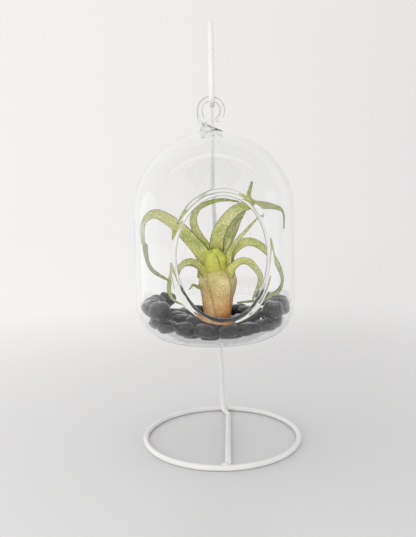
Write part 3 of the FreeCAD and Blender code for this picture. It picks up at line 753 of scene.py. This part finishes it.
def add_blade(bm, line, width, faces_at, thick, taper, channel, seed):
    """A channelled blade with a rounded, thin edge; its own map runs along it and across it."""
    across_steps = 8
    uv = bm.loops.layers.uv.verify()
    rings = []
    for step, spot in enumerate(line):
        run = step / (len(line) - 1)
        ahead = (line[min(step + 1, len(line) - 1)] - line[max(step - 1, 0)]).normalized()
        across = ahead.cross(faces_at(spot)).normalized()
        upper = across.cross(ahead).normalized()
        half = width / 2 * taper(run)
        sway = 0.05 * width * noise.noise(Vector((run * 5, seed, 0)))
        ring = []
        for part in range(2 * across_steps):
            share = part / across_steps
            side = 1 - 2 * share if share <= 1 else 2 * share - 3
            over = 1 if 0 < share < 1 else -1 if share > 1 else 0
            round_side = math.sin(side * math.pi / 2)
            depth = thick / 2 * (1 - 0.55 * run) * math.sqrt(max(0, 1 - round_side**2)) * over
            lift = half * channel * 2 * round_side**2 - half * channel * 0.5
            wave = 0.04 * width * noise.noise(Vector((run * 9, seed + side, 3)))
            spot_here = spot + across * (half * round_side + sway) + upper * (depth + lift + wave)
            ring.append((bm.verts.new(spot_here), run, (round_side + 1) / 2))
        rings.append(ring)
    for lower, upper_ring in zip(rings, rings[1:]):
        for part in range(2 * across_steps):
            nxt = (part + 1) % (2 * across_steps)
            corners = (lower[part], lower[nxt], upper_ring[nxt], upper_ring[part])
            face = bm.faces.new([c[0] for c in corners])
            for loop, (_, run, side) in zip(face.loops, corners):
                loop[uv].uv = (run, side)
    bm.faces.new([c[0] for c in rings[0]][::-1])
    bm.faces.new([c[0] for c in rings[-1]])


def leaf_taper(run):
    return 0.12 + 0.88 * (1 - run) ** 0.85


def build_leaf(number, node):
    width, facing, shares = LEAVES[node]
    origin = Vector((HANG_X, HANG_Y, BULB_TOP))
    axis = Vector((BULB_X, BULB_Y, 0))
    points = [within_glass(origin + Vector(s) * INNER) for s in shares]
    aim = points[0] - axis
    aim.z = 0
    root = axis + aim.normalized() * CROWN_R + UP * (BULB_TOP - 1.5)
    line = smooth_line([root] + points, STATIONS)
    bm = bmesh.new()
    add_blade(bm, line, width, lambda spot: leaf_faces(spot, Vector(facing)), 1.1, leaf_taper, 0.16, number * 7.3)
    name = node.replace("_", " ").capitalize()
    return finish_piece(name, bm, LEAF, "hanging_globe", [node])


for number, node in enumerate(LEAVES):
    build_leaf(number, node)

# %% [markdown]
# The bulb is made of broad sheaths, each the foot of a leaf, laid one over the next round a core.
# The crown is a tuft of short young blades.

# %% Bulb and crown
BULB_H = 33.0
BULB_PROFILE = [(0.0, 0.22), (0.02, 0.42), (0.06, 0.56), (0.12, 0.65), (0.22, 0.7), (0.48, 0.79), (0.62, 0.9),
                (0.74, 0.97), (0.8, 0.97), (0.87, 0.9), (0.94, 0.78), (1.0, 0.6)]


def bulb_radius(share):
    return 11.4 * float(np.interp(share, [p[0] for p in BULB_PROFILE], [p[1] for p in BULB_PROFILE]))


def sheath_place(turn, share):
    """Which sheath a place on the bulb lies on, and how far across it: five sheaths that wind upwards."""
    return 5 * turn / (2 * math.pi) + 0.5 * share + 0.35


def build_bulb():
    bm = bmesh.new()
    uv = bm.loops.layers.uv.verify()
    sides, rows = 120, 48
    grid = []
    for row in range(rows + 1):
        share = row / rows
        ring = []
        for number in range(sides):
            turn = 2 * math.pi * number / sides
            # Sheaths overlap like steps that wind slowly upwards.
            wound = sheath_place(turn, share) % 1.0
            step = 1.0 * (wound - 0.5) * math.sin(math.pi * min(1.0, share * 0.8 + 0.15))
            lump = 0.35 * noise.noise(Vector((math.cos(turn) * 1.4, math.sin(turn) * 1.4, share * 2.5)))
            radius = bulb_radius(share) * 1.05 + step + lump - 0.2
            ring.append(bm.verts.new((BULB_X + radius * math.cos(turn), BULB_Y + radius * math.sin(turn),
                                      BULB_LOW + BULB_H * share)))
        grid.append(ring)
    for row, (lower, upper) in enumerate(zip(grid, grid[1:])):
        for number in range(sides):
            nxt = (number + 1) % sides
            face = bm.faces.new((lower[number], lower[nxt], upper[nxt], upper[number]))
            for loop, up in zip(face.loops, (0, 0, 1, 1)):
                share = (row + up) / rows
                loop[uv].uv = (share, sheath_place(2 * math.pi * (number + 0.5) / sides, share) % 1.0)
    for ring, up in ((grid[0][::-1], 0.0), (grid[-1], 1.0)):
        face = bm.faces.new(ring)
        for loop in face.loops:
            loop[uv].uv = (up, 0.5)
    return finish_piece("Plant bulb", bm, BULB, "hanging_globe", ["plant_bulb"])


def build_crown():
    bm = bmesh.new()
    tuft = random.Random(3)
    for number in range(9):
        turn = number * 2.4
        out = Vector((math.cos(turn), math.sin(turn), 0))
        reach = CROWN_R * (0.3 + 0.55 * number / 9)
        height = (CROWN_H + 1.0) * (1.0 - 0.04 * number) + tuft.uniform(-0.4, 0.2)
        middle = Vector((BULB_X - 1.2, BULB_Y - 1.8, BULB_LOW + BULB_H + 0.2))
        steps = [(1.0, -0.3), (1.35, 0.2), (1.35, 0.7), (0.8, 1.0)]
        line = smooth_line([middle + out * reach * wide + UP * height * high for wide, high in steps], 18)
        facing = UP * 0.2 - out
        add_blade(bm, line, 10.5, lambda spot: facing, 1.0, lambda run: 0.45 + 0.55 * (1 - run**3), 0.3,
                  number * 3.1)
    return finish_piece("Young leaves", bm, CROWN, "hanging_globe", ["plant_crown"])


build_bulb()
build_crown()

# %% [markdown]
# ## Floor, light and air
#
# A pale floor fades into the background a little way off. Two tall soft panels stand left and
# right, and a third hangs above; they make the long pale streaks on the glass. A fourth in front
# lights the plant and the pebbles, and is kept out of the reflections. None of them shows through
# the glass, so that it looks clear from every side.

# %% Floor
def sideways_tone(tree, way):
    """The colour of the air in a direction: a little brighter on the left than on the right."""
    apart = tree.nodes.new("ShaderNodeSeparateXYZ")
    share = tree.nodes.new("ShaderNodeMapRange")
    for key, value in (("From Min", -0.4), ("From Max", 0.4)):
        share.inputs[key].default_value = value
    tone = tree.nodes.new("ShaderNodeMix")
    tone.data_type = "RGBA"
    tone.inputs[6].default_value = (0.92, 0.905, 0.89, 1.0)
    tone.inputs[7].default_value = (0.785, 0.775, 0.77, 1.0)
    tree.links.new(way, apart.inputs["Vector"])
    tree.links.new(apart.outputs["X"], share.inputs["Value"])
    tree.links.new(share.outputs["Result"], tone.inputs["Factor"])
    return tone.outputs[2]


def build_floor():
    bm = bmesh.new()
    bmesh.ops.create_grid(bm, x_segments=2, y_segments=2, size=3.0)
    mesh = bpy.data.meshes.new("Floor")
    bm.to_mesh(mesh)
    bm.free()
    floor = bpy.data.objects.new("Floor", mesh)
    bpy.context.scene.collection.objects.link(floor)
    shade = Shader("Floor", 0.32)
    place = shade.add("ShaderNodeTexCoord")
    # Painted shade: the floor's colour runs from lighter on the left to darker on the right, where less light falls.
    side = shade.add("ShaderNodeSeparateXYZ")
    share = shade.add("ShaderNodeMapRange", From_Min=-0.12, From_Max=0.12)
    shade.link(place.outputs["Object"], side.inputs["Vector"])
    shade.link(side.outputs["X"], share.inputs["Value"])
    shade.colour(shade.blend(share.outputs["Result"], (0.72, 0.72, 0.725), (0.665, 0.665, 0.67)))
    far = shade.add("ShaderNodeVectorMath")
    far.operation = "LENGTH"
    fade = shade.add("ShaderNodeMapRange", From_Min=0.08, From_Max=0.6)
    fade.interpolation_type = "SMOOTHSTEP"
    air = shade.add("ShaderNodeEmission")
    way = shade.add("ShaderNodeVectorMath")
    way.operation = "NORMALIZE"
    shade.link(place.outputs["Object"], way.inputs[0])
    shade.link(sideways_tone(shade.tree, way.outputs["Vector"]), air.inputs["Color"])
    choose = shade.add("ShaderNodeMixShader")
    shade.link(place.outputs["Object"], far.inputs[0])
    shade.link(far.outputs["Value"], fade.inputs["Value"])
    shade.link(fade.outputs["Result"], choose.inputs["Fac"])
    shade.link(shade.main.outputs["BSDF"], choose.inputs[1])
    shade.link(air.outputs["Emission"], choose.inputs[2])
    shade.link(choose.outputs["Shader"], shade.tree.nodes["Material Output"].inputs["Surface"])
    mesh.materials.append(shade.material)
    return floor


build_floor()

# %% World
def graded_room(tree, place, air):
    """The same air, darker in front of the globe, so that the panels stand out where it is mirrored."""
    apart = tree.nodes.new("ShaderNodeSeparateXYZ")
    tone = tree.nodes.new("ShaderNodeMapRange")
    for key, value in (("From Min", -0.1), ("From Max", 0.5), ("To Min", 0.2), ("To Max", 1.0)):
        tone.inputs[key].default_value = value
    tone.interpolation_type = "SMOOTHSTEP"
    shades = tree.nodes.new("ShaderNodeMix")
    shades.data_type = "RGBA"
    shades.inputs[6].default_value = (0.0, 0.0, 0.0, 1.0)
    room = tree.nodes.new("ShaderNodeBackground")
    link = tree.links.new
    link(place, apart.inputs["Vector"])
    link(apart.outputs["Y"], tone.inputs["Value"])
    link(tone.outputs["Result"], shades.inputs["Factor"])
    link(air, shades.inputs[7])
    link(shades.outputs[2], room.inputs["Color"])
    return room.outputs["Background"]


def build_world():
    """Even pale light, seen as it is through the glass; mirrored rays see it darker in front."""
    world = bpy.data.worlds.new("Air")
    bpy.context.scene.world = world
    world.use_nodes = True
    tree = world.node_tree
    link = tree.links.new
    place = tree.nodes.new("ShaderNodeTexCoord").outputs["Generated"]
    air = sideways_tone(tree, place)
    plain = tree.nodes["Background"]
    link(air, plain.inputs["Color"])
    path = tree.nodes.new("ShaderNodeLightPath")
    # A ray that has just left the glass counts as glossy too; only truly mirrored ones are wanted.
    mirrored = tree.nodes.new("ShaderNodeMath")
    mirrored.operation = "SUBTRACT"
    mirrored.use_clamp = True
    choose = tree.nodes.new("ShaderNodeMixShader")
    link(path.outputs["Is Glossy Ray"], mirrored.inputs[0])
    link(path.outputs["Is Transmission Ray"], mirrored.inputs[1])
    link(mirrored.outputs["Value"], choose.inputs["Fac"])
    link(plain.outputs["Background"], choose.inputs[1])
    link(graded_room(tree, place, air), choose.inputs[2])
    link(choose.outputs["Shader"], tree.nodes["World Output"].inputs["Surface"])


def add_panel(name, place, wide, tall, power, colour=(1.0, 1.0, 1.0), mirrored=True, shape="RECTANGLE"):
    """A soft panel that looks at the globe; mirrored says whether the glass shows it."""
    light = bpy.data.lights.new(name, "AREA")
    light.shape = shape
    light.size, light.size_y = wide, tall
    light.energy = power
    light.color = colour
    obj = bpy.data.objects.new(name, light)
    obj.visible_glossy = mirrored
    obj.visible_transmission = False
    bpy.context.scene.collection.objects.link(obj)
    obj.location = Vector(place)
    target = Vector((0, 0, 0.12))
    obj.rotation_mode = "QUATERNION"
    obj.rotation_quaternion = (target - obj.location).to_track_quat("-Z", "Y")
    return obj


build_world()
BLUISH = (0.86, 0.94, 1.0)
add_panel("Left panel", (-0.58, 0.12, 0.07), 0.5, 0.56, 0.6, BLUISH, shape="ELLIPSE")
add_panel("Right panel", (0.58, -0.06, 0.15), 0.2, 0.4, 0.24, BLUISH)
add_panel("Top panel", (0.0, -0.1, 0.75), 1.3, 0.05, 0.3)
add_panel("Front panel", (-0.25, -0.72, 0.24), 0.6, 0.4, 2.2, mirrored=False)

# %% [markdown]
# ## Camera
#
# The camera stands about a third of a metre off, a little above the middle of the globe, tipped
# five degrees down and rolled by about one.

# %% Camera
def build_camera():
    data = bpy.data.cameras.new("Camera")
    data.sensor_fit = "HORIZONTAL"
    data.sensor_width = 36.0
    data.lens = 47.47
    data.clip_start, data.clip_end = 0.01, 50.0
    camera = bpy.data.objects.new("Camera", data)
    bpy.context.scene.collection.objects.link(camera)
    turn = Matrix.Rotation(math.radians(85), 4, "X") @ Matrix.Rotation(math.radians(-1.1), 4, "Z")
    camera.matrix_world = Matrix.Translation((-0.00696, -0.3376, 0.1368)) @ turn
    bpy.context.scene.camera = camera
    return camera


build_camera()
scene = bpy.context.scene
scene.view_settings.view_transform = "Standard"
scene.cycles.max_bounces = 24
scene.cycles.transmission_bounces = 20
scene.cycles.transparent_max_bounces = 20
scene.cycles.glossy_bounces = 8
